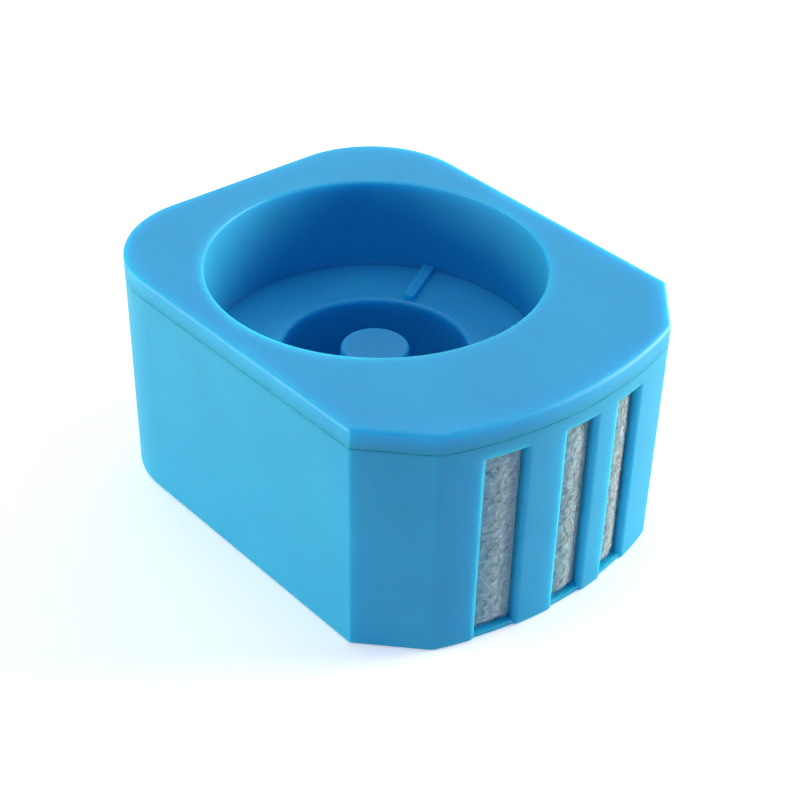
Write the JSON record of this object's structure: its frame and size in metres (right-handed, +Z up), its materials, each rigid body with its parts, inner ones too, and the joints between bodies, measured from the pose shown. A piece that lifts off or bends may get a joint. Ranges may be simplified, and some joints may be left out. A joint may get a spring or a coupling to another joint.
{
  "type": "water filter cartridge",
  "caption": "Drop-in water filter cartridge: slotted tub of resin beads behind felt, with a push-fit cover that has a round valve seat, a well and a centre pin.",
  "frame": {"origin": "on the axis of the round tank seat, at the level of the base", "axes": "+Z up along the seat's axis, +Y towards the straight back, the slotted front faces -Y, X across the width"},
  "size_m": [0.06, 0.077, 0.0375],
  "materials": {
    "blue_plastic": "satin, slightly translucent",
    "grey_felt": "needle felt",
    "white_plastic": "satin",
    "resin_beads": "wet amber beads"
  },
  "bodies": {
    "shell": {"body_shell": "blue_plastic", "outlet_felt": "grey_felt", "felt_frame": "white_plastic", "resin_bed": "resin_beads"},
    "cover": {"top_cover": "blue_plastic", "inlet_felt": "grey_felt", "inlet_grid": "white_plastic"}
  },
  "joints": [
    {"name": "cover_lift", "type": "slide", "parent": "shell", "child": "cover", "axis": [0, 0, 1], "range_m": [0, 0.04]}
  ]
}
